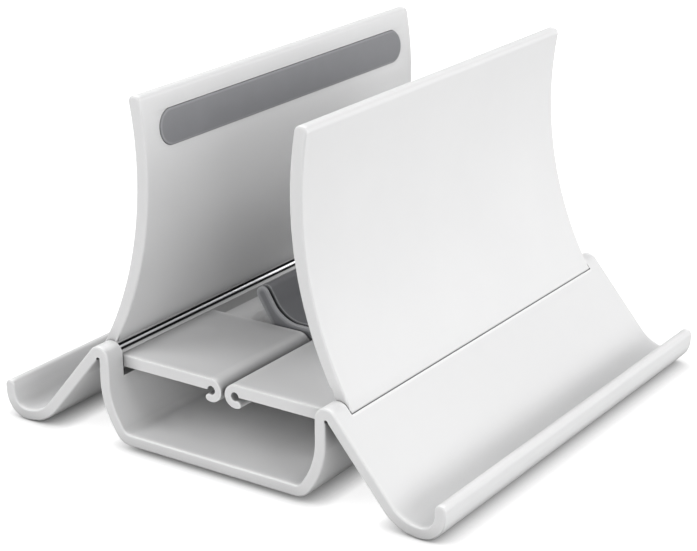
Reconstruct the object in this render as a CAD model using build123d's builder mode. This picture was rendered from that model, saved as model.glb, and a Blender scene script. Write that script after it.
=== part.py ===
# Vertical laptop stand: a folded base moulding, two hinged clamp arms on steel pins, soft pads and feet.
# X runs across the stand, Y from front to back, and Z up from the table.
import os
from math import asin, atan, atan2, cos, degrees, pi, radians, sin, tan

from build123d import *

# Base moulding: one sheet of even wall, bent into tray, ridge, trough, ridge and tray
width = 143.0
depth = 138.6
wall = 3.2
lip_rise = 7.3  # centre of the lip's round tip above the tray's centre line
lip_radius = 5.6
tray_reach = 11.6  # from the lip's centre line to where the tray's floor turns up into the slope
tray_flat = 0.4  # level stretch between the tray's two bends
ridge_x = 34.9  # centre line of the trough's upright wall
ridge_rise = 27.7  # corner of the ridge, before its bend, above the tray's centre line
crest_radius = 1.8
relief_radius = 0.6  # round relief at the inner side of the crest's bend
relief_shift = 0.2
relief_drop = 0.2
lean_rise = 10.4  # where the trough wall starts to lean in, above the tray's centre line
lean_radius = 22.0
trough_foot_x = 29.2
trough_rise = 1.4  # trough floor above the tray floor
trough_radius = 4.0
base_edge_radius = 0.5

# Hinges: a pin through the ridge's end lugs, with the arm's round root in a seat between the lugs
lug_length = 6.0
pin_radius = 1.0
pin_place = 132.0  # where the pin sits round the crest's bend, in degrees from straight out
pin_running_gap = 0.05
pin_cover = 1.5  # material in front of the pin's blind hole
pin_inset = 0.4  # pin's back end below the base's back face
pin_chamfer = 0.2
root_radius = 4.85
seat_gap = 0.3
ledge_drop = 2.5  # lowered trough wall below the arm's platform
ledge_reach = 1.0  # lowered stretch past the pin's centre
lug_gap = 0.3

# Arms: curved panel, level platform and curled inner edge in one moulding
panel_top = 96.7
panel_top_radius = 1.6
panel_edge_radius = 0.6
panel_setback = 0.9  # panel's inner face outside the pin's centre, at the pin's height
waist_z = 77.2
waist_gap = 44.5  # between the two panels' inner faces at the waist
waist_thickness = 3.85
platform_thickness = 3.3
boss_wall = 0.85
mouth_start = 85.0
mouth_end = 229.0
curl_gap = 1.1  # between the two arms' curls
curl_radius = 3.3
curl_wall = 2.1
curl_opening = 44.0
curl_tip_radius = 0.9
platform_edge_radius = 0.2

# Recess in the platforms and the soft cradle that sits in it
recess_length = 46.2
recess_depth = 2.0
recess_margin = 1.25  # top of the recess's outer wall, inside the pin's centre
recess_draft = 1.25
cradle_end_gap = 1.3
cradle_split = 1.2  # between the cradle's two halves
cradle_floor = 3.0
cradle_foot_x = 13.7
cradle_wall = 4.1
cradle_side_angle = 58.0
cradle_height = 11.8
cradle_bend_radius = 9.0
cradle_tip_flat = 0.3
cradle_heel_radius = 1.0
cradle_edge_radius = 0.3
bead_width = 0.8  # bead along each end of the cradle
groove_width = 0.9  # groove behind the bead
groove_depth = 0.7

# Soft strip near the top of each panel's inner face
strip_length = 113.8
strip_height = 9.8
strip_drop = 9.9  # strip's middle below the panel's top
strip_sunk = 0.5
strip_proud = 0.5
strip_edge_radius = 0.3

# Return springs: a coil round the back end of each pin, one end in the lug and one leg in the panel
wire_radius = 0.3
coil_radius = 1.65  # of the wire's centre
coil_pitch = 0.75
coil_turns = 5  # full turns, before the part turn that brings the leg to the panel
coil_start = 240.0  # where the coil leaves the lug, in degrees from straight out
coil_gap = 0.3  # between the coil and its pocket
wire_gap = 0.05  # round the wire's ends in their hole and groove
hook_radius = 0.6
hook_length = 3.0
leg_length = 9.0

# Feet under the trough floor
foot_proud = 0.2  # feet reach this far below the trays
foot_length = 16.0
foot_width = 8.0
foot_sunk = 0.6
foot_edge_radius = 0.4
foot_x = 16.0
foot_margin = 9.0  # from the base's ends to the feet

# Heights and places that follow from these
lip_x = (width - wall) / 2
tray_bend_x = lip_x - tray_reach
tray_z = foot_proud + wall / 2
ridge_z = tray_z + ridge_rise
lean_z = tray_z + lean_rise
trough_z = tray_z + trough_rise
slope_angle = degrees(atan2(ridge_rise, tray_bend_x - ridge_x))
tray_radius = (tray_reach - lip_radius - tray_flat) / tan(radians(slope_angle / 2))
crest_half_angle = (90 - slope_angle) / 2
crest_x = ridge_x + crest_radius
crest_z = ridge_z - crest_radius / tan(radians(crest_half_angle))
pin_x = crest_x + crest_radius * cos(radians(pin_place))
pin_z = crest_z + crest_radius * sin(radians(pin_place))
lug_face = depth / 2 - lug_length
platform_bottom = pin_z - root_radius
platform_top = platform_bottom + platform_thickness
ledge_z = platform_bottom - ledge_drop
arm_half = lug_face - lug_gap
recess_floor = platform_top - recess_depth
recess_half = recess_length / 2
cradle_half = recess_half - cradle_end_gap
trough_underside = trough_z - wall / 2
strip_z = panel_top - strip_drop


def arc_radius(low_x, waist_x):
    # Radius of an arc that stands upright at the waist and reaches its low end at the pin's height
    run = low_x - waist_x
    drop = waist_z - pin_z
    return (run**2 + drop**2) / (2 * run)


panel_inner_x = waist_gap / 2
panel_outer_x = panel_inner_x + waist_thickness
inner_radius = arc_radius(pin_x + panel_setback, panel_inner_x)
outer_radius = arc_radius(pin_x + root_radius, panel_outer_x)
inner_centre = (panel_inner_x + inner_radius, waist_z)
outer_centre = (panel_outer_x + outer_radius, waist_z)


def polar(centre, radius, angle):
    return (centre[0] + radius * cos(radians(angle)), centre[1] + radius * sin(radians(angle)))


# Return spring about its own axis: a hook, a coil and a leg that leaves the coil straight
pin_centre = (pin_x, pin_z)
leg_angle = 90 + degrees(asin((waist_z - pin_z) / inner_radius))
coil_sweep = coil_turns * 360 + (leg_angle - 90 - coil_start) % 360
coil_length = coil_pitch * coil_sweep / 360
lead_angle = atan(coil_pitch / (2 * pi * coil_radius))
hook_side = -hook_radius * (1 - sin(lead_angle))
hook_bend = Vector(coil_radius, hook_side, -hook_radius * cos(lead_angle))
hook_tip = hook_bend - Vector(0, 0, hook_length)

with BuildPart() as spring:
    with BuildLine() as spring_wire:
        Line(hook_tip, hook_bend)
        TangentArc(hook_bend, (coil_radius, 0, 0), tangent=(0, 0, 1))
        coil = Helix(coil_pitch, coil_length, coil_radius)
        Line(coil @ 1, coil @ 1 + (coil % 1) * leg_length)
    with BuildSketch(Plane.XY.offset(hook_tip.Z)) as wire_section:
        with Locations((hook_tip.X, hook_tip.Y)):
            Circle(wire_radius)
    sweep(path=spring_wire.wire())

# Right spring: on the pin, with its hook towards the back lug and its leg along the panel
coil_back = lug_face - hook_radius - wire_gap
coil_front = coil_back - coil_length
coil_x_dir = (cos(radians(coil_start)), 0, sin(radians(coil_start)))
coil_plane = Plane(origin=(pin_x, coil_back, pin_z), x_dir=coil_x_dir, z_dir=(0, -1, 0))
hook_place = coil_plane.from_local_coords(hook_tip)

with BuildPart() as right_spring:
    with Locations(coil_plane.location):
        add(spring.part)

# Base
half_line = [
    (lip_x, tray_z + lip_rise),
    (lip_x, tray_z),
    (tray_bend_x, tray_z),
    (ridge_x, ridge_z),
    (ridge_x, lean_z),
    (trough_foot_x, trough_z),
]
half_bends = [lip_radius, tray_radius, crest_radius, lean_radius, trough_radius]
other_half_line = [(-x, z) for x, z in reversed(half_line)]
slope_x_at_ledge = tray_bend_x - (ledge_z - tray_z) / tan(radians(slope_angle))
crest_slope_end = polar((crest_x, crest_z), crest_radius, 90 - slope_angle)
foot_y = depth / 2 - foot_margin - foot_width / 2
foot_places = {
    "front_left_foot": (-foot_x, -foot_y),
    "front_right_foot": (foot_x, -foot_y),
    "back_left_foot": (-foot_x, foot_y),
    "back_right_foot": (foot_x, foot_y),
}

with BuildPart() as base:
    with BuildSketch(Plane.XZ) as sheet:
        with BuildLine():
            FilletPolyline(half_line + other_half_line, radius=half_bends + half_bends[::-1])
            offset(amount=wall / 2)
        make_face()
    extrude(amount=depth / 2, both=True)
    fillet(base.faces().sort_by(Axis.Y)[0].edges(), base_edge_radius)
    fillet(base.faces().sort_by(Axis.Y)[-1].edges(), base_edge_radius)

    # Round relief inside each crest's bend
    with BuildSketch(Plane.XZ) as crest_reliefs:
        with Locations((crest_x + relief_shift, crest_z - relief_drop)):
            Circle(relief_radius)
        mirror(about=Plane.YZ)
    extrude(amount=depth / 2, both=True, mode=Mode.SUBTRACT)

    # Web that joins slope and trough wall under each hinge, between the lugs
    with BuildSketch(Plane.XZ) as web:
        with BuildLine():
            Polyline(
                (ridge_x, ledge_z),
                (slope_x_at_ledge, ledge_z),
                crest_slope_end,
                (ridge_x, crest_z),
                close=True,
            )
        make_face()
        mirror(about=Plane.YZ)
    extrude(amount=lug_face, both=True)

    # Round seat for the arm's root, and the lowered trough wall beside it
    with BuildSketch(Plane.XZ) as seat:
        with Locations((pin_x, pin_z)):
            Circle(root_radius + seat_gap)
        with Locations((pin_x + ledge_reach, ledge_z)):
            Rectangle(wall + root_radius, pin_z - ledge_z, align=(Align.MAX, Align.MIN))
        mirror(about=Plane.YZ)
    extrude(amount=lug_face, both=True, mode=Mode.SUBTRACT)

    # Pin holes, blind in the front lugs and through the back ones
    with BuildSketch(Plane.XZ.offset(-depth / 2)) as pin_holes:
        with Locations((pin_x, pin_z), (-pin_x, pin_z)):
            Circle(pin_radius)
    extrude(amount=depth - pin_cover, mode=Mode.SUBTRACT)

    # Blind holes in the back lugs for the springs' hooks
    with BuildSketch(Plane.XZ.offset(-lug_face)) as hook_holes:
        with Locations((hook_place.X, hook_place.Z)):
            Circle(wire_radius + wire_gap)
        mirror(about=Plane.YZ)
    extrude(amount=-hook_length - wire_gap, mode=Mode.SUBTRACT)

    # Shallow seats for the feet
    with BuildSketch(Plane.XY.offset(trough_underside)) as foot_seats:
        with Locations(*foot_places.values()):
            SlotOverall(foot_length, foot_width)
    extrude(amount=foot_sunk, mode=Mode.SUBTRACT)

# Soft strip on the right panel, bent to the panel's inner face
with BuildPart() as right_arm_pad:
    with BuildSketch(Plane.XZ) as strip_section:
        with Locations(inner_centre):
            Circle(inner_radius + strip_proud)
            Circle(inner_radius - strip_sunk, mode=Mode.SUBTRACT)
        with Locations((0, strip_z)):
            Rectangle(inner_centre[0], 2 * strip_height, align=(Align.MIN, Align.CENTER), mode=Mode.INTERSECT)
    extrude(amount=strip_length, both=True)
    with BuildSketch(Plane.YZ) as strip_outline:
        with Locations((0, strip_z)):
            SlotOverall(strip_length, strip_height)
    extrude(amount=inner_centre[0], mode=Mode.INTERSECT)
    fillet(right_arm_pad.faces().sort_by(Axis.X)[0].edges(), strip_edge_radius)

# Right arm
boss_radius = pin_radius + pin_running_gap + boss_wall
curl_x = curl_gap / 2 + curl_radius
curl_z = platform_top - curl_radius
curl_centre = (curl_x, curl_z)
curl_bore_radius = curl_radius - curl_wall
curl_tip = polar(curl_centre, curl_radius - curl_wall / 2, -curl_opening)
pocket_radius = coil_radius + wire_radius + coil_gap
pocket_front = coil_front - wire_radius - coil_gap
leg_reach = leg_length * sin(lead_angle)

with BuildPart() as right_arm:
    # Panel between its inner and outer arcs, with a rounded top edge
    with BuildSketch(Plane.XZ) as panel:
        with Locations(inner_centre):
            Circle(inner_radius)
        with Locations(outer_centre):
            Circle(outer_radius, mode=Mode.SUBTRACT)
        with Locations((0, pin_z)):
            Rectangle(inner_centre[0], panel_top - pin_z, align=(Align.MIN, Align.MIN), mode=Mode.INTERSECT)
        fillet(panel.vertices().group_by(Axis.Y)[-1], panel_top_radius)
    extrude(amount=arm_half, both=True)
    for end_face in right_arm.faces().filter_by(Axis.Y):
        fillet(end_face.edges().sort_by(Axis.Z)[1:], panel_edge_radius)

    # Round root below the pin, level with the platform on its inner side
    with BuildSketch(Plane.XZ) as root:
        with Locations(pin_centre):
            Circle(root_radius)
            Rectangle(2 * root_radius, root_radius, align=(Align.CENTER, Align.MIN), mode=Mode.SUBTRACT)
        with Locations((pin_x, platform_top)):
            Rectangle(root_radius, root_radius, align=(Align.MAX, Align.MIN), mode=Mode.SUBTRACT)

    # Level platform
    with BuildSketch(Plane.XZ) as platform:
        with Locations((pin_x, platform_bottom)):
            Rectangle(pin_x - curl_x, platform_thickness, align=(Align.MAX, Align.MIN))
    extrude(amount=arm_half, both=True)

    # Curl along the platform's inner edge, in front of the recess and behind it
    curl_planes = (Plane.XZ.offset(recess_half), Plane.XZ.offset(-arm_half))
    with BuildSketch(*curl_planes) as curl:
        with BuildLine():
            CenterArc(curl_centre, curl_radius, 0, 360 - curl_opening)
            Line(
                polar(curl_centre, curl_radius, -curl_opening),
                polar(curl_centre, curl_bore_radius, -curl_opening),
            )
            CenterArc(curl_centre, curl_bore_radius, -curl_opening, curl_opening - 360)
            Line((curl_x + curl_bore_radius, curl_z), (curl_x + curl_radius, curl_z))
        make_face()
        fillet(curl.vertices().sort_by_distance(curl_tip)[:2], curl_tip_radius)
    extrude(amount=arm_half - recess_half)
    with BuildSketch(*curl_planes) as curl_bore:
        with Locations(curl_centre):
            Circle(curl_bore_radius)
    extrude(amount=arm_half - recess_half, mode=Mode.SUBTRACT)

    # Rounded ends of the platform and its curl
    arm_ends = right_arm.faces().filter_by(Axis.Y).sort_by(Axis.Y)
    for end_face in (arm_ends[0], arm_ends[-1]):
        platform_edges = end_face.edges().filter_by_position(Axis.X, 0, pin_x - boss_radius)
        fillet(platform_edges.filter_by_position(Axis.Z, 0, pin_z), platform_edge_radius)

    # Boss that wraps the pin, and a groove for the pin in it, open up and inwards
    with BuildSketch(Plane.XZ) as boss:
        with Locations(pin_centre):
            Circle(boss_radius)
    extrude(amount=arm_half, both=True)
    with BuildSketch(Plane.XZ) as groove:
        with BuildLine():
            Line(pin_centre, polar(pin_centre, boss_radius, mouth_start))
            CenterArc(pin_centre, boss_radius, mouth_start, mouth_end - mouth_start)
            Line(polar(pin_centre, boss_radius, mouth_end), pin_centre)
        make_face()
        with Locations(pin_centre):
            Circle(pin_radius + pin_running_gap)
    extrude(amount=arm_half, both=True, mode=Mode.SUBTRACT)

    # Recess for the cradle, open to the middle of the stand
    with BuildSketch(Plane.XZ) as recess:
        with BuildLine():
            Polyline(
                (pin_x - recess_margin, platform_top),
                (pin_x - recess_margin - recess_draft, recess_floor),
                (0, recess_floor),
                (0, platform_top),
                close=True,
            )
        make_face()
    extrude(amount=recess_half, both=True, mode=Mode.SUBTRACT)

    # Pocket for the return spring's coil, and a groove in the panel for its leg
    with BuildSketch(Plane.XZ.offset(-arm_half)) as spring_pocket:
        with Locations(pin_centre):
            Circle(pocket_radius)
    extrude(amount=arm_half - pocket_front, mode=Mode.SUBTRACT)
    with BuildSketch(Plane.XZ.offset(-coil_front - wire_radius - wire_gap)) as leg_groove:
        with Locations(Location(pin_centre, leg_angle - 90)):
            Rectangle(
                coil_radius + wire_radius + wire_gap,
                leg_length + wire_radius,
                align=(Align.MIN, Align.MIN),
            )
    extrude(amount=leg_reach + 2 * (wire_radius + wire_gap), mode=Mode.SUBTRACT)

    # Shallow seat for the soft strip
    add(right_arm_pad.part, mode=Mode.SUBTRACT)

# Right hinge pin, pushed in from the back
with BuildPart() as right_pin:
    with BuildSketch(Plane.XZ.offset(pin_inset - depth / 2)) as pin_section:
        with Locations(pin_centre):
            Circle(pin_radius)
    extrude(amount=depth - pin_inset - pin_cover)
    chamfer(right_pin.edges().filter_by(GeomType.CIRCLE), pin_chamfer)


# Right half of the cradle: a level floor that turns up into a slanted side with a round tip
def cradle_outline(relief):
    along = Vector(cos(radians(cradle_side_angle)), sin(radians(cradle_side_angle)))
    inward = Vector(-along.Y, along.X)
    side_wall = cradle_wall - relief
    tip_rise = cradle_height - cradle_wall / 2 * (1 + inward.Y)
    side_length = tip_rise / along.Y + cradle_wall / 2 - relief
    heel = Vector(cradle_foot_x, recess_floor)
    outer_tip = heel + along * side_length
    inner_foot = heel + inward * side_wall
    floor_top = recess_floor + cradle_floor - relief
    inner_bend = inner_foot + along * ((floor_top - inner_foot.Y) / along.Y)
    return [
        (cradle_split / 2, recess_floor),
        heel,
        outer_tip,
        outer_tip + inward * side_wall,
        inner_bend,
        (cradle_split / 2, floor_top),
    ]


def cradle_rounds(relief):
    tip_radius = (cradle_wall - relief - cradle_tip_flat) / 2
    return [0, cradle_heel_radius, tip_radius, tip_radius, cradle_bend_radius, 0]


with BuildPart() as right_cradle:
    with BuildSketch(Plane.XZ) as cradle_section:
        with BuildLine():
            FilletPolyline(cradle_outline(0), radius=cradle_rounds(0), close=True)
        make_face()
    extrude(amount=cradle_half, both=True)
    fillet(right_cradle.faces().sort_by(Axis.Y)[0].edges(), cradle_edge_radius)
    fillet(right_cradle.faces().sort_by(Axis.Y)[-1].edges(), cradle_edge_radius)

    # Groove behind the bead at each end
    groove_planes = (
        Plane.XZ.offset(cradle_half - bead_width - groove_width),
        Plane.XZ.offset(bead_width - cradle_half),
    )
    with BuildSketch(*groove_planes) as cradle_grooves:
        with BuildLine():
            FilletPolyline(cradle_outline(0), radius=cradle_rounds(0), close=True)
        make_face()
        with BuildLine():
            FilletPolyline(cradle_outline(groove_depth), radius=cradle_rounds(groove_depth), close=True)
        make_face(mode=Mode.SUBTRACT)
    extrude(amount=groove_width, mode=Mode.SUBTRACT)

# Left arm, pin, spring, strip and cradle half mirror the right ones
with BuildPart() as left_arm:
    mirror(right_arm.part, about=Plane.YZ)

with BuildPart() as left_pin:
    mirror(right_pin.part, about=Plane.YZ)

with BuildPart() as left_spring:
    mirror(right_spring.part, about=Plane.YZ)

with BuildPart() as left_arm_pad:
    mirror(right_arm_pad.part, about=Plane.YZ)

with BuildPart() as left_cradle:
    mirror(right_cradle.part, about=Plane.YZ)

pieces = {
    "base": base,
    "left_arm": left_arm,
    "right_arm": right_arm,
    "left_pin": left_pin,
    "right_pin": right_pin,
    "left_spring": left_spring,
    "right_spring": right_spring,
    "left_arm_pad": left_arm_pad,
    "right_arm_pad": right_arm_pad,
    "left_cradle": left_cradle,
    "right_cradle": right_cradle,
}

# Feet, glued in the seats under the trough floor
for foot_name, foot_place in foot_places.items():
    with BuildPart() as foot:
        with BuildSketch(Plane.XY) as foot_outline:
            with Locations(foot_place):
                SlotOverall(foot_length, foot_width)
        extrude(amount=trough_underside + foot_sunk)
        fillet(foot.faces().sort_by(Axis.Z)[0].edges(), foot_edge_radius)
    pieces[foot_name] = foot

os.makedirs("parts", exist_ok=True)
for piece_name, piece in pieces.items():
    piece.part.label = piece_name
    export_step(piece.part, f"parts/{piece_name}.step")
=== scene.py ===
import math

import bmesh
import bpy
from mathutils import Matrix, Vector


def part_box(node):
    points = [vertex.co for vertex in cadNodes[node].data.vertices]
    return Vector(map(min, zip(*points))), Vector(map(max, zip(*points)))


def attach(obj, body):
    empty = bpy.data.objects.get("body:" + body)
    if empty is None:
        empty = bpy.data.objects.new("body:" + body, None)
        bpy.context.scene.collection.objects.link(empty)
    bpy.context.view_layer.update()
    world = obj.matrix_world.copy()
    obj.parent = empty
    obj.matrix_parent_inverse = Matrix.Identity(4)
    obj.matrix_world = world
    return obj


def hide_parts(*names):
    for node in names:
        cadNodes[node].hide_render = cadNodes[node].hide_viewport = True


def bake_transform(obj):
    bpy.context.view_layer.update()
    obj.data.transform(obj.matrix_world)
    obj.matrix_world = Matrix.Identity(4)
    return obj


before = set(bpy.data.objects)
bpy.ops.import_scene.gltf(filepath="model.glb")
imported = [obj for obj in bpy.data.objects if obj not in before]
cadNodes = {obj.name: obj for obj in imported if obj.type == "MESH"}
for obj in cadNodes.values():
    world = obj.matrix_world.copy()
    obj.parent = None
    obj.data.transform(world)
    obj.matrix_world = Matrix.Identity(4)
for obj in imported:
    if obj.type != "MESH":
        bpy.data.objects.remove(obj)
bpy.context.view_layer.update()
sides = {"left": -1, "right": 1}  # which way each side lies along X
print("frame loaded:", len(cadNodes), "pieces")


# Shader groups that several finishes share
def newGroup(name, inputs, outputs):
    group = bpy.data.node_groups.new(name, "ShaderNodeTree")
    for socketName, value in inputs.items():
        socket = group.interface.new_socket(socketName, in_out="INPUT", socket_type="NodeSocketFloat")
        socket.default_value = value
    for socketName in outputs:
        group.interface.new_socket(socketName, in_out="OUTPUT", socket_type="NodeSocketFloat")
    start = group.nodes.new("NodeGroupInput")
    end = group.nodes.new("NodeGroupOutput")
    return group, start, end


def addRange(tree, value, low, high, toLow, toHigh):
    node = tree.nodes.new("ShaderNodeMapRange")
    node.inputs["From Min"].default_value = low
    node.inputs["From Max"].default_value = high
    node.inputs["To Min"].default_value = toLow
    node.inputs["To Max"].default_value = toHigh
    tree.links.new(value, node.inputs["Value"])
    return node.outputs["Result"]


def addMath(tree, operation, *values):
    node = tree.nodes.new("ShaderNodeMath")
    node.operation = operation
    for socket, value in zip(node.inputs, values):
        if isinstance(value, bpy.types.NodeSocket):
            tree.links.new(value, socket)
        else:
            socket.default_value = value
    return node.outputs["Value"]


mouldPattern = {
    "grainDetail": 3,
    "grainRoughness": 0.6,
    "mottleDetail": 4,
    "mottleSpan": (0.3, 0.7),  # the part of the noise that is stretched from 0 to 1
}


def buildMouldGrain():
    # fine grain of the mould's steel, and the slow mottling of the material that filled it
    scales = {"Grain scale": 2500, "Mottle scale": 30}
    group, start, end = newGroup("mouldGrain", scales, ["Grain", "Mottle"])
    place = group.nodes.new("ShaderNodeTexCoord")
    grain = group.nodes.new("ShaderNodeTexNoise")
    grain.inputs["Detail"].default_value = mouldPattern["grainDetail"]
    grain.inputs["Roughness"].default_value = mouldPattern["grainRoughness"]
    mottle = group.nodes.new("ShaderNodeTexNoise")
    mottle.inputs["Detail"].default_value = mouldPattern["mottleDetail"]
    group.links.new(place.outputs["Object"], grain.inputs["Vector"])
    group.links.new(place.outputs["Object"], mottle.inputs["Vector"])
    group.links.new(start.outputs["Grain scale"], grain.inputs["Scale"])
    group.links.new(start.outputs["Mottle scale"], mottle.inputs["Scale"])
    group.links.new(grain.outputs[0], end.inputs["Grain"])
    patches = addRange(group, mottle.outputs[0], *mouldPattern["mottleSpan"], 0, 1)
    group.links.new(patches, end.inputs["Mottle"])
    return group


coverSamples = 8  # rays by which a point feels what lies round it
edgeShape = {
    "flat": 0.95,  # share of open rays under a face
    "sharp": 0.45,  # and under an edge
    "steep": 0.68,  # upward part of the normal where the painted highlight on a crown begins
    "level": 0.9,  # and where it is full
}


def buildEdgeHighlight():
    # painted highlight: 1 along outer edges, and 0 on the faces
    group, start, end = newGroup("edgeHighlight", {"Reach": 0.001, "Up": 0}, ["Edge"])
    depth = group.nodes.new("ShaderNodeAmbientOcclusion")
    depth.inside = True
    depth.only_local = True
    depth.samples = coverSamples
    surface = group.nodes.new("ShaderNodeNewGeometry")
    facing = group.nodes.new("ShaderNodeSeparateXYZ")
    group.links.new(start.outputs["Reach"], depth.inputs["Distance"])
    group.links.new(surface.outputs["Normal"], facing.inputs["Vector"])
    edge = addRange(group, depth.outputs["AO"], edgeShape["flat"], edgeShape["sharp"], 0, 1)
    upward = addRange(group, facing.outputs["Z"], edgeShape["steep"], edgeShape["level"], 0, 1)
    anyWay = addMath(group, "SUBTRACT", 1, start.outputs["Up"])
    shown = addMath(group, "MAXIMUM", upward, anyWay)
    group.links.new(addMath(group, "MULTIPLY", edge, shown), end.inputs["Edge"])
    return group


def buildCrevice():
    # painted shade: 1 in seams, grooves and hollows, and 0 on open faces
    group, start, end = newGroup("crevice", {"Reach": 0.001, "Open": 0.7, "Closed": 0.2}, ["Depth"])
    cover = group.nodes.new("ShaderNodeAmbientOcclusion")
    cover.samples = coverSamples
    depth = group.nodes.new("ShaderNodeMapRange")
    group.links.new(start.outputs["Reach"], cover.inputs["Distance"])
    group.links.new(cover.outputs["AO"], depth.inputs["Value"])
    group.links.new(start.outputs["Open"], depth.inputs["From Min"])
    group.links.new(start.outputs["Closed"], depth.inputs["From Max"])
    group.links.new(depth.outputs["Result"], end.inputs["Depth"])
    return group


mouldGrain = buildMouldGrain()
edgeHighlight = buildEdgeHighlight()
crevice = buildCrevice()


def newMaterial(name):
    material = bpy.data.materials.new(name)
    material.use_nodes = True
    return material, material.node_tree, material.node_tree.nodes["Principled BSDF"]


def addMix(tree, factor, lowColour, highColour):
    # each colour is a plain one or comes from another node
    mix = tree.nodes.new("ShaderNodeMix")
    mix.data_type = "RGBA"
    for socketName, colour in (("A", lowColour), ("B", highColour)):
        if isinstance(colour, bpy.types.NodeSocket):
            tree.links.new(colour, mix.inputs[socketName])
        else:
            mix.inputs[socketName].default_value = (*colour, 1)
    tree.links.new(factor, mix.inputs["Factor"])
    return mix.outputs["Result"]


def addEdgeHighlight(tree, colour, layer):
    # painted highlight: lightens the colour along edges, all of them or only those that face up
    edge = tree.nodes.new("ShaderNodeGroup")
    edge.node_tree = edgeHighlight
    edge.inputs["Reach"].default_value = layer["reach"]
    edge.inputs["Up"].default_value = layer["up"]
    return addMix(tree, edge.outputs["Edge"], colour, layer["colour"])


def addPaintedShade(tree, colour, layer):
    # painted shade: darkens the colour where the layer's reach finds a seam or hollow
    paintedShade = tree.nodes.new("ShaderNodeGroup")
    paintedShade.node_tree = crevice
    paintedShade.inputs["Reach"].default_value = layer["reach"]
    paintedShade.inputs["Open"].default_value = layer["open"]
    paintedShade.inputs["Closed"].default_value = layer["closed"]
    return addMix(tree, paintedShade.outputs["Depth"], colour, layer["colour"])


def buildMoulded(name, finish):
    # moulded plastic or rubber: mottled colour and gloss over a fine grain, painted highlights along
    # edges and painted shade in seams and hollows
    material, tree, shader = newMaterial(name)
    grain = tree.nodes.new("ShaderNodeGroup")
    grain.node_tree = mouldGrain
    grain.inputs["Grain scale"].default_value = finish["grainScale"]
    grain.inputs["Mottle scale"].default_value = finish["mottleScale"]
    mottle = grain.outputs["Mottle"]
    colour = addMix(tree, mottle, finish["shade"], finish["light"])
    for layer in finish["edges"]:
        colour = addEdgeHighlight(tree, colour, layer)
    for layer in finish["paintedShade"]:
        colour = addPaintedShade(tree, colour, layer)
    tree.links.new(colour, shader.inputs["Base Color"])
    tree.links.new(addRange(tree, mottle, 0, 1, *finish["roughness"]), shader.inputs["Roughness"])
    bump = tree.nodes.new("ShaderNodeBump")
    bump.inputs["Strength"].default_value = finish["grainStrength"]
    bump.inputs["Distance"].default_value = finish["grainHeight"]
    tree.links.new(grain.outputs["Grain"], bump.inputs["Height"])
    tree.links.new(bump.outputs["Normal"], shader.inputs["Normal"])
    shader.inputs["Specular IOR Level"].default_value = finish["specular"]
    return material


shellFinish = {
    "shade": (0.685, 0.685, 0.688),
    "light": (0.715, 0.715, 0.717),
    # painted highlights: a lighter line along every edge, and white on up-facing crowns
    "edges": [
        {"reach": 0.0007, "up": 0, "colour": (0.81, 0.81, 0.812)},
        {"reach": 0.0022, "up": 1, "colour": (1, 1, 1)},
    ],
    # painted shade: broad in hollows, and dark in seams and grooves
    "paintedShade": [
        {"reach": 0.006, "open": 0.98, "closed": 0.3, "colour": (0.33, 0.33, 0.332)},
        {"reach": 0.0024, "open": 0.6, "closed": 0.25, "colour": (0.08, 0.08, 0.08)},
    ],
    "roughness": (0.4, 0.5),
    "specular": 0.45,
    "grainScale": 2600,
    "grainStrength": 0.12,
    "grainHeight": 0.0001,
    "mottleScale": 28,
}
siliconeFinish = {
    "shade": (0.205, 0.207, 0.218),
    "light": (0.226, 0.228, 0.24),
    # painted highlight along the edges and painted shade in the grooves
    "edges": [{"reach": 0.0007, "up": 0, "colour": (0.52, 0.525, 0.54)}],
    "paintedShade": [{"reach": 0.0018, "open": 0.65, "closed": 0.25, "colour": (0.01, 0.01, 0.011)}],
    "roughness": (0.56, 0.68),
    "specular": 0.35,
    "grainScale": 3400,
    "grainStrength": 0.2,
    "grainHeight": 0.0001,
    "mottleScale": 90,
}
footFinish = {
    "shade": (0.186, 0.19, 0.206),
    "light": (0.214, 0.219, 0.236),
    # painted highlight along the edges and painted shade in seams
    "edges": [{"reach": 0.0008, "up": 0, "colour": (0.27, 0.275, 0.29)}],
    "paintedShade": [{"reach": 0.0012, "open": 0.55, "closed": 0.15, "colour": (0.05, 0.05, 0.05)}],
    "roughness": (0.7, 0.85),
    "specular": 0.3,
    "grainScale": 2200,
    "grainStrength": 0.3,
    "grainHeight": 0.0001,
    "mottleScale": 140,
}
whiteShell = buildMoulded("whiteShell", shellFinish)
greySilicone = buildMoulded("greySilicone", siliconeFinish)
footRubber = buildMoulded("footRubber", footFinish)

pinFinish = {
    "shade": (0.72, 0.72, 0.74),
    "light": (0.8, 0.8, 0.81),
    "roughness": (0.42, 0.54),
    "drawScale": (9000, 60, 9000),  # lines run along the pin
}
springFinish = {
    "shade": (0.5, 0.5, 0.51),
    "light": (0.6, 0.6, 0.61),
    "roughness": (0.2, 0.34),
    "drawScale": (4000, 4000, 4000),
}
drawMarks = {"detail": 2, "span": (0.3, 0.7)}


def buildSteel(name, finish):
    # drawn steel: fine marks of the die
    material, tree, shader = newMaterial(name)
    place = tree.nodes.new("ShaderNodeTexCoord")
    stretch = tree.nodes.new("ShaderNodeMapping")
    stretch.inputs["Scale"].default_value = finish["drawScale"]
    lines = tree.nodes.new("ShaderNodeTexNoise")
    lines.inputs["Scale"].default_value = 1
    lines.inputs["Detail"].default_value = drawMarks["detail"]
    tree.links.new(place.outputs["Object"], stretch.inputs["Vector"])
    tree.links.new(stretch.outputs["Vector"], lines.inputs["Vector"])
    marks = addRange(tree, lines.outputs[0], *drawMarks["span"], 0, 1)
    tree.links.new(addMix(tree, marks, finish["shade"], finish["light"]), shader.inputs["Base Color"])
    tree.links.new(addRange(tree, marks, 0, 1, *finish["roughness"]), shader.inputs["Roughness"])
    shader.inputs["Metallic"].default_value = 1
    return material


paintedPinReflection = {
    "colour": (0.008, 0.008, 0.009),
    "brightFrom": 136,  # bare steel between these, in degrees round the pin from straight out
    "brightTo": 169,
    "fade": 6,
}


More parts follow.
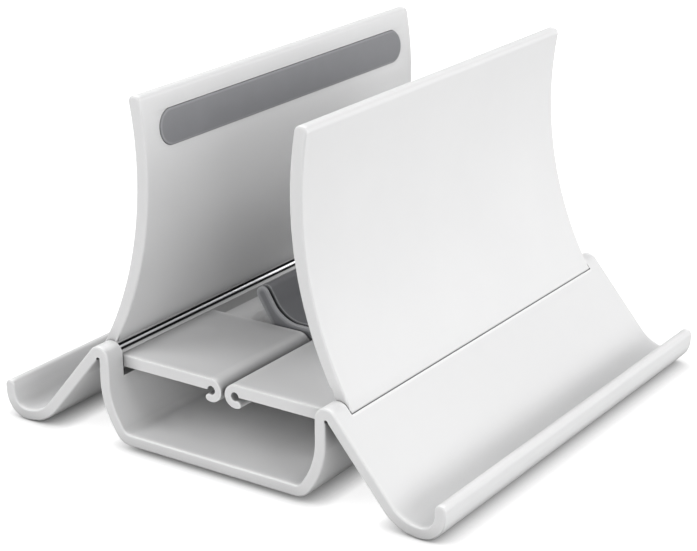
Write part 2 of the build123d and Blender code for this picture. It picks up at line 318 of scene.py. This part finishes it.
def addPaintedPinReflection(material):
    # painted dark reflection along both sides of the pin in its groove, bare steel in the middle of
    # what shows
    tree = material.node_tree
    shader = tree.nodes["Principled BSDF"]
    low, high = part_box("right_pin")
    centre = (low + high) / 2
    place = tree.nodes.new("ShaderNodeTexCoord")
    parts = tree.nodes.new("ShaderNodeSeparateXYZ")
    tree.links.new(place.outputs["Object"], parts.inputs["Vector"])
    out = addMath(tree, "SUBTRACT", addMath(tree, "ABSOLUTE", parts.outputs["X"]), centre.x)
    up = addMath(tree, "SUBTRACT", parts.outputs["Z"], centre.z)
    angle = addMath(tree, "ARCTAN2", up, out)
    middle = math.radians((paintedPinReflection["brightFrom"] + paintedPinReflection["brightTo"]) / 2)
    halfWidth = math.radians((paintedPinReflection["brightTo"] - paintedPinReflection["brightFrom"]) / 2)
    away = addMath(tree, "ABSOLUTE", addMath(tree, "SUBTRACT", angle, middle))
    fade = math.radians(paintedPinReflection["fade"])
    paintedDarkMask = addRange(tree, away, halfWidth - fade / 2, halfWidth + fade / 2, 0, 1)
    steel = shader.inputs["Base Color"].links[0].from_socket
    tree.links.new(addMix(tree, paintedDarkMask, steel, paintedPinReflection["colour"]), shader.inputs["Base Color"])


recessPaintedShade = {
    "centre": (0.03362, 0, 0.02338),  # middle of the recess's outer wall, on the right
    "half": (0.00075, 0.02305, 0.00094),
    "fade": 0.0001,
    "colour": (0.44, 0.44, 0.442),
}


def addRecessPaintedShade(material):
    # painted shade: a grey band on the outer wall of the recess, under the pin
    tree = material.node_tree
    shader = tree.nodes["Principled BSDF"]
    place = tree.nodes.new("ShaderNodeTexCoord")
    parts = tree.nodes.new("ShaderNodeSeparateXYZ")
    tree.links.new(place.outputs["Object"], parts.inputs["Vector"])
    outside = -1
    for axis, middle, half in zip("XYZ", recessPaintedShade["centre"], recessPaintedShade["half"]):
        mirrored = addMath(tree, "ABSOLUTE", parts.outputs[axis])
        away = addMath(tree, "ABSOLUTE", addMath(tree, "SUBTRACT", mirrored, middle))
        outside = addMath(tree, "MAXIMUM", outside, addMath(tree, "SUBTRACT", away, half))
    paintedDarkMask = addRange(tree, outside, recessPaintedShade["fade"], 0, 0, 1)
    plastic = shader.inputs["Base Color"].links[0].from_socket
    tree.links.new(addMix(tree, paintedDarkMask, plastic, recessPaintedShade["colour"]), shader.inputs["Base Color"])


addRecessPaintedShade(whiteShell)
pinSteel = buildSteel("pinSteel", pinFinish)
addPaintedPinReflection(pinSteel)
springSteel = buildSteel("springSteel", springFinish)
cadNodes["base"].data.materials[0] = whiteShell
for nodeName in ("left_pin", "right_pin"):
    cadNodes[nodeName].data.materials[0] = pinSteel
print("finishes made:", len(bpy.data.materials))


# Pieces that stand in place of their plain solids
touching = 0.000001  # places nearer than this are one


def addStadium(bm, length, width, segments):
    # flat face with two round ends, along X, about the origin
    bmesh.ops.create_circle(bm, cap_ends=True, segments=segments, radius=width / 2)
    bmesh.ops.rotate(bm, verts=bm.verts, matrix=Matrix.Rotation(math.pi / segments, 3, "Z"))
    for end in (-1, 1):
        endVerts = [v for v in bm.verts if v.co.x * end > 0]
        bmesh.ops.translate(bm, verts=endVerts, vec=(end * (length - width) / 2, 0, 0))


def raiseFace(bm, height):
    # gives the flat face thickness and returns the edges round its raised side
    grown = bmesh.ops.extrude_face_region(bm, geom=bm.faces[:])["geom"]
    top = {g for g in grown if isinstance(g, bmesh.types.BMVert)}
    bmesh.ops.translate(bm, verts=list(top), vec=(0, 0, height))
    bmesh.ops.recalc_face_normals(bm, faces=bm.faces)
    topFaces = [f for f in bm.faces if all(v in top for v in f.verts)]
    return [e for e in bm.edges if sum(f in topFaces for f in e.link_faces) == 1]


def roundEdges(bm, edges, radius, segments):
    bmesh.ops.bevel(
        bm, geom=edges, offset=radius, segments=segments, profile=0.5, affect="EDGES", material=-1
    )


def cutAcross(bm, place):
    # cuts the mesh along the plane through this place that faces Y
    geom = bm.verts[:] + bm.edges[:] + bm.faces[:]
    bmesh.ops.bisect_plane(bm, geom=geom, plane_co=place, plane_no=(0, 1, 0))


def finishPiece(name, bm, material, node, sharpAngle):
    bmesh.ops.recalc_face_normals(bm, faces=bm.faces)
    mesh = bpy.data.meshes.new(name)
    bm.to_mesh(mesh)
    bm.free()
    mesh.shade_smooth()
    mesh.set_sharp_from_angle(angle=math.radians(sharpAngle))
    mesh.materials.append(material)
    piece = bpy.data.objects.new(name, mesh)
    bpy.context.scene.collection.objects.link(piece)
    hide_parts(node)
    return piece


arm = {
    "roundEnd": 0.00065,  # how far the rounding of the panel's ends reaches along Y
    "panelFoot": 0.0281,  # the panel's ends are mended above this height
    "hollow": 3,  # degrees, edges that bend inwards by more than this are turned
    "rounds": 60,  # at most
    "sharpAngle": 30,
    "faceWeight": 100,  # large faces decide the shading at their borders
}


def turnEdge(edge):
    # turns the edge between two triangles, and turns it back where that folds or dents them
    facing = edge.link_faces[0].normal + edge.link_faces[1].normal
    before = edge.calc_face_angle_signed(0)
    fresh = bmesh.utils.edge_rotate(edge, True)
    if fresh is None:
        return False
    for f in fresh.link_faces:
        f.normal_update()
    folded = any(f.normal.dot(facing) <= 0 for f in fresh.link_faces)
    if folded or fresh.calc_face_angle_signed(0) <= before:
        for f in bmesh.utils.edge_rotate(fresh, False).link_faces:
            f.normal_update()
        return False
    return True


def turnHollowEdges(bm, endY, sign):
    # turns the edges that cut the rounding short, until it bulges evenly, and counts them
    limit = -math.radians(arm["hollow"])
    turned = 0
    for attempt in range(arm["rounds"]):
        hollow = []
        for e in bm.edges:
            corners = [v.co for f in e.link_faces for v in f.verts]
            atEnd = all(c.y * sign > endY - arm["roundEnd"] for c in corners)
            onPanel = all(c.z > arm["panelFoot"] for c in corners)
            if atEnd and onPanel and e.calc_face_angle_signed(0) < limit:
                hollow.append(e)
        count = 0
        for e in hollow:
            if e.is_valid and e.calc_face_angle_signed(0) < limit:
                count += turnEdge(e)
        turned += count
        if not count:
            break
    return turned


def buildArm(side):
    node = side + "_arm"
    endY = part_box(node)[1].y
    bm = bmesh.new()
    bm.from_mesh(cadNodes[node].data)
    bmesh.ops.remove_doubles(bm, verts=bm.verts, dist=touching)
    turned = [turnHollowEdges(bm, endY, sign) for sign in (-1, 1)]
    print(node, "edges turned at its ends:", turned)
    piece = finishPiece(node + "_shell", bm, whiteShell, node, arm["sharpAngle"])
    if "custom_normal" in piece.data.attributes:  # they belong to the old triangles
        piece.data.attributes.remove(piece.data.attributes["custom_normal"])
    even = piece.modifiers.new("even faces", "WEIGHTED_NORMAL")
    even.mode = "FACE_AREA"
    even.weight = arm["faceWeight"]
    even.keep_sharp = True
    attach(piece, node)


strip = {
    "panelCentre": (0.12228, 0.0772),  # x and z of the axis that the panel's inner face bends about
    "panelRadius": 0.10003,
    "sunk": 0.00048,  # below the panel's face
    "proud": 0.00045,  # above it
    "seam": 0.00012,  # open joint round the strip
    "roundEdge": 0.00035,
    "roundSteps": 4,
    "sharpAngle": 40,
    "segments": 64,
    "rows": 8,
}


def buildStrip(side, sign):
    node = side + "_arm_pad"
    low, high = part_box(node)
    length = high.y - low.y - 2 * strip["seam"]
    height = high.z - low.z - 2 * strip["seam"]
    midZ = (low.z + high.z) / 2
    bm = bmesh.new()
    addStadium(bm, length, height, strip["segments"])
    for row in range(1, strip["rows"]):
        cutAcross(bm, (0, height * (row / strip["rows"] - 0.5), 0))
    rim = raiseFace(bm, strip["sunk"] + strip["proud"])
    roundEdges(bm, rim, strip["roundEdge"], strip["roundSteps"])
    centreX, centreZ = strip["panelCentre"]
    for v in bm.verts:  # lay the flat strip on the bent panel
        along, up, out = v.co
        reach = strip["panelRadius"] - strip["sunk"] + out
        z = midZ + up
        v.co = (sign * (centreX - math.sqrt(reach**2 - (z - centreZ) ** 2)), along, z)
    piece = finishPiece(node + "_strip", bm, greySilicone, node, strip["sharpAngle"])
    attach(piece, side + "_arm")


cradle = {
    "split": 0.0006,  # half of the gap between the two halves
    "footX": 0.0137,  # where the sloping side rises from the underside
    "floor": 0.003,
    "wall": 0.0041,
    "sideAngle": 58,  # degrees
    "heelCut": 0.00055,  # taken off the corners by their rounding
    "tipCut": 0.0019,
    "bendCut": 0.005,
    "bead": 0.0006,  # rounded bead along each end
    "groove": 0.0013,  # groove behind the bead
    "grooveDepth": 0.0012,
    "roundEdge": 0.0003,
    "roundSteps": 3,
    "cornerSteps": 10,
    "sharpAngle": 40,
    "facing": 0.9,  # part of a normal along an axis from which a face counts as facing that way
}


def cradleOutline(low, high):
    # corners of the section, as x and z, and how much the rounding takes off each
    angle = math.radians(cradle["sideAngle"])
    along = Vector((math.cos(angle), math.sin(angle)))
    inward = Vector((-along.y, along.x))
    rise = high.z - low.z - cradle["wall"] / 2 * (1 + inward.y)
    sideLength = rise / along.y + cradle["wall"] / 2
    heel = Vector((cradle["footX"], low.z))
    outerTip = heel + along * sideLength
    innerFoot = heel + inward * cradle["wall"]
    floorTop = low.z + cradle["floor"]
    bend = innerFoot + along * ((floorTop - innerFoot.y) / along.y)
    return [
        (Vector((cradle["split"], low.z)), 0),
        (heel, cradle["heelCut"]),
        (outerTip, cradle["tipCut"]),
        (outerTip + inward * cradle["wall"], cradle["tipCut"]),
        (bend, cradle["bendCut"]),
        (Vector((cradle["split"], floorTop)), 0),
    ]


def buildCradle(side, sign):
    node = side + "_cradle"
    low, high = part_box(node)
    bm = bmesh.new()
    corners, cuts = zip(*cradleOutline(low, high))
    verts = [bm.verts.new((sign * corner.x, low.y, corner.y)) for corner in corners]
    bm.faces.new(verts)
    steps = cradle["cornerSteps"]
    for v, cut in zip(verts, cuts):
        if cut:
            bmesh.ops.bevel(
                bm, geom=[v], offset=cut, segments=steps, profile=0.5, affect="VERTICES", material=-1
            )
    grown = bmesh.ops.extrude_face_region(bm, geom=bm.faces[:])["geom"]
    backVerts = [g for g in grown if isinstance(g, bmesh.types.BMVert)]
    bmesh.ops.translate(bm, verts=backVerts, vec=(0, high.y - low.y, 0))
    bmesh.ops.recalc_face_normals(bm, faces=bm.faces)
    for end in (-1, 1):
        endY = high.y if end > 0 else low.y
        grooveY = [endY - end * cradle["bead"], endY - end * (cradle["bead"] + cradle["groove"])]
        for y in grooveY:
            cutAcross(bm, (0, y, 0))
        bm.normal_update()
        middle = sum(grooveY) / 2
        ring = [
            f
            for f in bm.faces
            if abs(f.calc_center_median().y - middle) < cradle["groove"] / 4
            and f.normal.z > -cradle["facing"]  # not the underside
            and f.normal.x * sign > -cradle["facing"]  # not the face at the split
        ]
        sunk = bmesh.ops.extrude_face_region(bm, geom=ring)["geom"]
        bmesh.ops.delete(bm, geom=ring, context="FACES")
        sunkVerts = [g for g in sunk if isinstance(g, bmesh.types.BMVert)]
        bm.normal_update()
        for v in sunkVerts:
            floors = [f.normal for f in v.link_faces if abs(f.normal.y) < cradle["facing"]]
            v.co -= sum(floors, Vector()).normalized() * cradle["grooveDepth"]
    bm.normal_update()
    ends = []
    for f in bm.faces:
        y = f.calc_center_median().y
        if abs(f.normal.y) > cradle["facing"] and min(y - low.y, high.y - y) < touching:
            ends.append(f)
    endEdges = list({e for f in ends for e in f.edges})
    roundEdges(bm, endEdges, cradle["roundEdge"], cradle["roundSteps"])
    piece = finishPiece(node + "_liner", bm, greySilicone, node, cradle["sharpAngle"])
    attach(piece, side + "_arm")


foot = {"seam": 0.0001, "roundEdge": 0.0005, "roundSteps": 4, "sharpAngle": 40, "segments": 48}


def buildFoot(node):
    low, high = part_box(node)
    bm = bmesh.new()
    length = high.x - low.x - 2 * foot["seam"]
    width = high.y - low.y - 2 * foot["seam"]
    addStadium(bm, length, width, foot["segments"])
    rim = raiseFace(bm, low.z - high.z)
    roundEdges(bm, rim, foot["roundEdge"], foot["roundSteps"])
    middle = (low + high) / 2
    bmesh.ops.translate(bm, verts=bm.verts, vec=(middle.x, middle.y, high.z))
    piece = finishPiece(node + "_pad", bm, footRubber, node, foot["sharpAngle"])
    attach(piece, "base")


spring = {
    "wireRadius": 0.0003,
    "coilRadius": 0.00165,
    "pitch": 0.00075,  # from one turn to the next
    "backY": 0.06265,  # where the coil starts, beside the back lug
    "startAngle": 240,  # where the hook leaves the coil, in degrees from straight out
    "sweep": 1950.84,  # degrees from the hook to the leg
    "hookRadius": 0.0006,
    "hookLength": 0.003,
    "legLength": 0.009,
    "wireSegments": 12,
    "hookSteps": 6,
    "coilSteps": 195,
    "sharpAngle": 60,
}


def drawRing(bm, ring, move):
    # draws a ring of edges out along a straight run and returns the new ring
    grown = bmesh.ops.extrude_edge_only(bm, edges=ring)["geom"]
    ends = {g for g in grown if isinstance(g, bmesh.types.BMVert)}
    bmesh.ops.translate(bm, verts=list(ends), vec=move)
    return [g for g in grown if isinstance(g, bmesh.types.BMEdge) and ends.issuperset(g.verts)]


def spinRing(bm, ring, centre, axis, angle, steps, rise):
    # carries a ring of edges round an axis and returns the new ring
    geom = list({v for e in ring for v in e.verts}) + ring
    step = Vector(axis) * rise / steps
    spun = bmesh.ops.spin(
        bm, geom=geom, cent=centre, axis=axis, angle=angle, steps=steps, dvec=step
    )
    return [g for g in spun["geom_last"] if isinstance(g, bmesh.types.BMEdge) and g.is_boundary]


def buildSpring(side, sign):
    node = side + "_spring"
    pinLow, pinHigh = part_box("right_pin")
    coilRadius = spring["coilRadius"]
    hookRadius = spring["hookRadius"]
    sweep = math.radians(spring["sweep"])
    lead = math.atan(spring["pitch"] / (2 * math.pi * coilRadius))
    hookSide = -hookRadius * (1 - math.sin(lead))
    hookBend = -hookRadius * math.cos(lead)
    rise = spring["pitch"] * spring["sweep"] / 360
    leg = Vector((-math.sin(sweep), math.cos(sweep), math.tan(lead))).normalized() * spring["legLength"]
    bm = bmesh.new()
    bmesh.ops.create_circle(bm, segments=spring["wireSegments"], radius=spring["wireRadius"])
    bmesh.ops.translate(bm, verts=bm.verts, vec=(coilRadius, hookSide, hookBend - spring["hookLength"]))
    ring = drawRing(bm, bm.edges[:], (0, 0, spring["hookLength"]))
    hookCentre = (coilRadius, hookSide + hookRadius, hookBend)
    ring = spinRing(bm, ring, hookCentre, (1, 0, 0), lead - math.pi / 2, spring["hookSteps"], 0)
    ring = spinRing(bm, ring, (0, 0, 0), (0, 0, 1), sweep, spring["coilSteps"], rise)
    drawRing(bm, ring, leg)
    bmesh.ops.holes_fill(bm, edges=bm.edges, sides=0)
    start = math.radians(spring["startAngle"])
    across = Vector((math.cos(start), 0, math.sin(start)))
    forward = Vector((0, -1, 0))
    turn = Matrix((across, forward.cross(across), forward)).transposed().to_4x4()
    place = (pinLow + pinHigh) / 2
    place.y = spring["backY"]
    bmesh.ops.transform(bm, matrix=Matrix.Translation(place) @ turn, verts=bm.verts)
    bmesh.ops.scale(bm, vec=(sign, 1, 1), verts=bm.verts)
    piece = finishPiece(node + "_wire", bm, springSteel, node, spring["sharpAngle"])
    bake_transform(piece)


for sideName, sideSign in sides.items():
    buildArm(sideName)
    buildStrip(sideName, sideSign)
    buildCradle(sideName, sideSign)
    buildSpring(sideName, sideSign)
for nodeName in sorted(cadNodes):
    if nodeName.endswith("_foot"):
        buildFoot(nodeName)
print("arms, soft pieces and springs made")

# Studio: pale floor, soft lights and the photograph's camera
floorSettings = {
    "size": 8,
    "drop": 0.00002,  # keeps the floor just clear of the feet and trays
    "colour": (0.5, 0.5, 0.5),
    "roughness": 0.9,
    "glow": 0.82,  # lifts the lit floor to white for the camera and for reflections
    "plainFrom": 0.25,  # from here outwards the floor turns plain white
    "plainTo": 0.7,
    "haloReach": 0.006,  # how far the painted contact shadow round the stand's feet and trays reaches
    "haloDepth": 1,
}


def addSeenByEye(tree):
    # 1 for camera, glossy and transmission rays, 0 for the rays that light the object
    rays = tree.nodes.new("ShaderNodeLightPath").outputs
    seen = addMath(tree, "MAXIMUM", rays["Is Camera Ray"], rays["Is Glossy Ray"])
    return addMath(tree, "MAXIMUM", seen, rays["Is Transmission Ray"])


def buildFloor():
    material, tree, shader = newMaterial("paleFloor")
    shader.inputs["Base Color"].default_value = (*floorSettings["colour"], 1)
    shader.inputs["Roughness"].default_value = floorSettings["roughness"]
    shader.inputs["Specular IOR Level"].default_value = 0
    shader.inputs["Emission Color"].default_value = (1, 1, 1, 1)
    # painted contact shadow: the floor's glow is darkened where the stand is near
    cover = tree.nodes.new("ShaderNodeAmbientOcclusion")
    cover.inputs["Distance"].default_value = floorSettings["haloReach"]
    halo = addRange(tree, cover.outputs["AO"], 0, 1, 1 - floorSettings["haloDepth"], 1)
    place = tree.nodes.new("ShaderNodeTexCoord")
    reach = tree.nodes.new("ShaderNodeVectorMath")
    reach.operation = "LENGTH"
    tree.links.new(place.outputs["Object"], reach.inputs[0])
    plainSpan = (floorSettings["plainFrom"], floorSettings["plainTo"])
    level = addRange(tree, reach.outputs["Value"], *plainSpan, floorSettings["glow"], 1)
    glow = addMath(tree, "MULTIPLY", addSeenByEye(tree), level)
    tree.links.new(addMath(tree, "MULTIPLY", glow, halo), shader.inputs["Emission Strength"])
    bm = bmesh.new()
    bmesh.ops.create_grid(bm, x_segments=1, y_segments=1, size=floorSettings["size"] / 2)
    bmesh.ops.translate(bm, verts=bm.verts, vec=(0, 0, -floorSettings["drop"]))
    mesh = bpy.data.meshes.new("floor")
    bm.to_mesh(mesh)
    bm.free()
    mesh.materials.append(material)
    floor = bpy.data.objects.new("floor", mesh)
    bpy.context.scene.collection.objects.link(floor)


worldSettings = {"ambient": 0}


def buildWorld():
    world = bpy.data.worlds.new("studio")
    bpy.context.scene.world = world
    world.use_nodes = True
    tree = world.node_tree
    sky = tree.nodes["Background"]
    sky.inputs["Color"].default_value = (1, 1, 1, 1)
    level = addRange(tree, addSeenByEye(tree), 0, 1, worldSettings["ambient"], 1)
    tree.links.new(level, sky.inputs["Strength"])


lamps = {  # degrees to the right of straight in front, degrees up, and watts
    "front": (0, 20, 3.2),
    "frontLeft": (-40, 36, 8.4),
    "frontRightLow": (40, 8, 1.7),
    "rightLow": (70, 5, 5.5),
    "rightHigh": (85, 57, 4.8),
    "backRight": (130, 20, 7.7),
    "backLeft": (-130, 45, 4.3),
}
softbox = {"aim": (0, 0, 0.045), "distance": 1.2, "size": 0.9}


def directionFrom(azimuth, elevation):
    # points from the object to a place round it, both angles in degrees
    turn = math.radians(azimuth)
    lift = math.radians(elevation)
    return Vector((math.sin(turn) * math.cos(lift), -math.cos(turn) * math.cos(lift), math.sin(lift)))


def buildLamp(name, azimuth, elevation, energy):
    lamp = bpy.data.lights.new(name, "AREA")
    lamp.shape = "DISK"
    lamp.size = softbox["size"]
    lamp.energy = energy
    holder = bpy.data.objects.new(name, lamp)
    bpy.context.scene.collection.objects.link(holder)
    back = directionFrom(azimuth, elevation)
    place = Vector(softbox["aim"]) + back * softbox["distance"]
    holder.matrix_world = Matrix.LocRotScale(place, back.to_track_quat("Z", "Y"), None)


photoCamera = {
    "place": (0.289387, -0.429883, 0.223857),
    "azimuth": 34.246,  # degrees to the right of straight in front
    "elevation": 20.082,
    "roll": -0.35,
    "lens": 101.26,
    "sensor": 36,
}


def buildCamera():
    roll = math.radians(photoCamera["roll"])
    back = directionFrom(photoCamera["azimuth"], photoCamera["elevation"])
    level = Vector((-back.y, back.x, 0)).normalized()
    upright = back.cross(level)
    right = math.cos(roll) * level + math.sin(roll) * upright
    up = math.cos(roll) * upright - math.sin(roll) * level
    lensData = bpy.data.cameras.new("photoCamera")
    lensData.lens = photoCamera["lens"]
    lensData.sensor_width = photoCamera["sensor"]
    lensData.sensor_fit = "HORIZONTAL"
    holder = bpy.data.objects.new("photoCamera", lensData)
    bpy.context.scene.collection.objects.link(holder)
    turn = Matrix((right, up, back)).transposed().to_4x4()
    holder.matrix_world = Matrix.Translation(photoCamera["place"]) @ turn
    bpy.context.scene.camera = holder


buildFloor()
buildWorld()
for lampName, lampSettings in lamps.items():
    buildLamp(lampName, *lampSettings)
buildCamera()
bpy.context.scene.view_settings.view_transform = "Standard"
print("studio set")
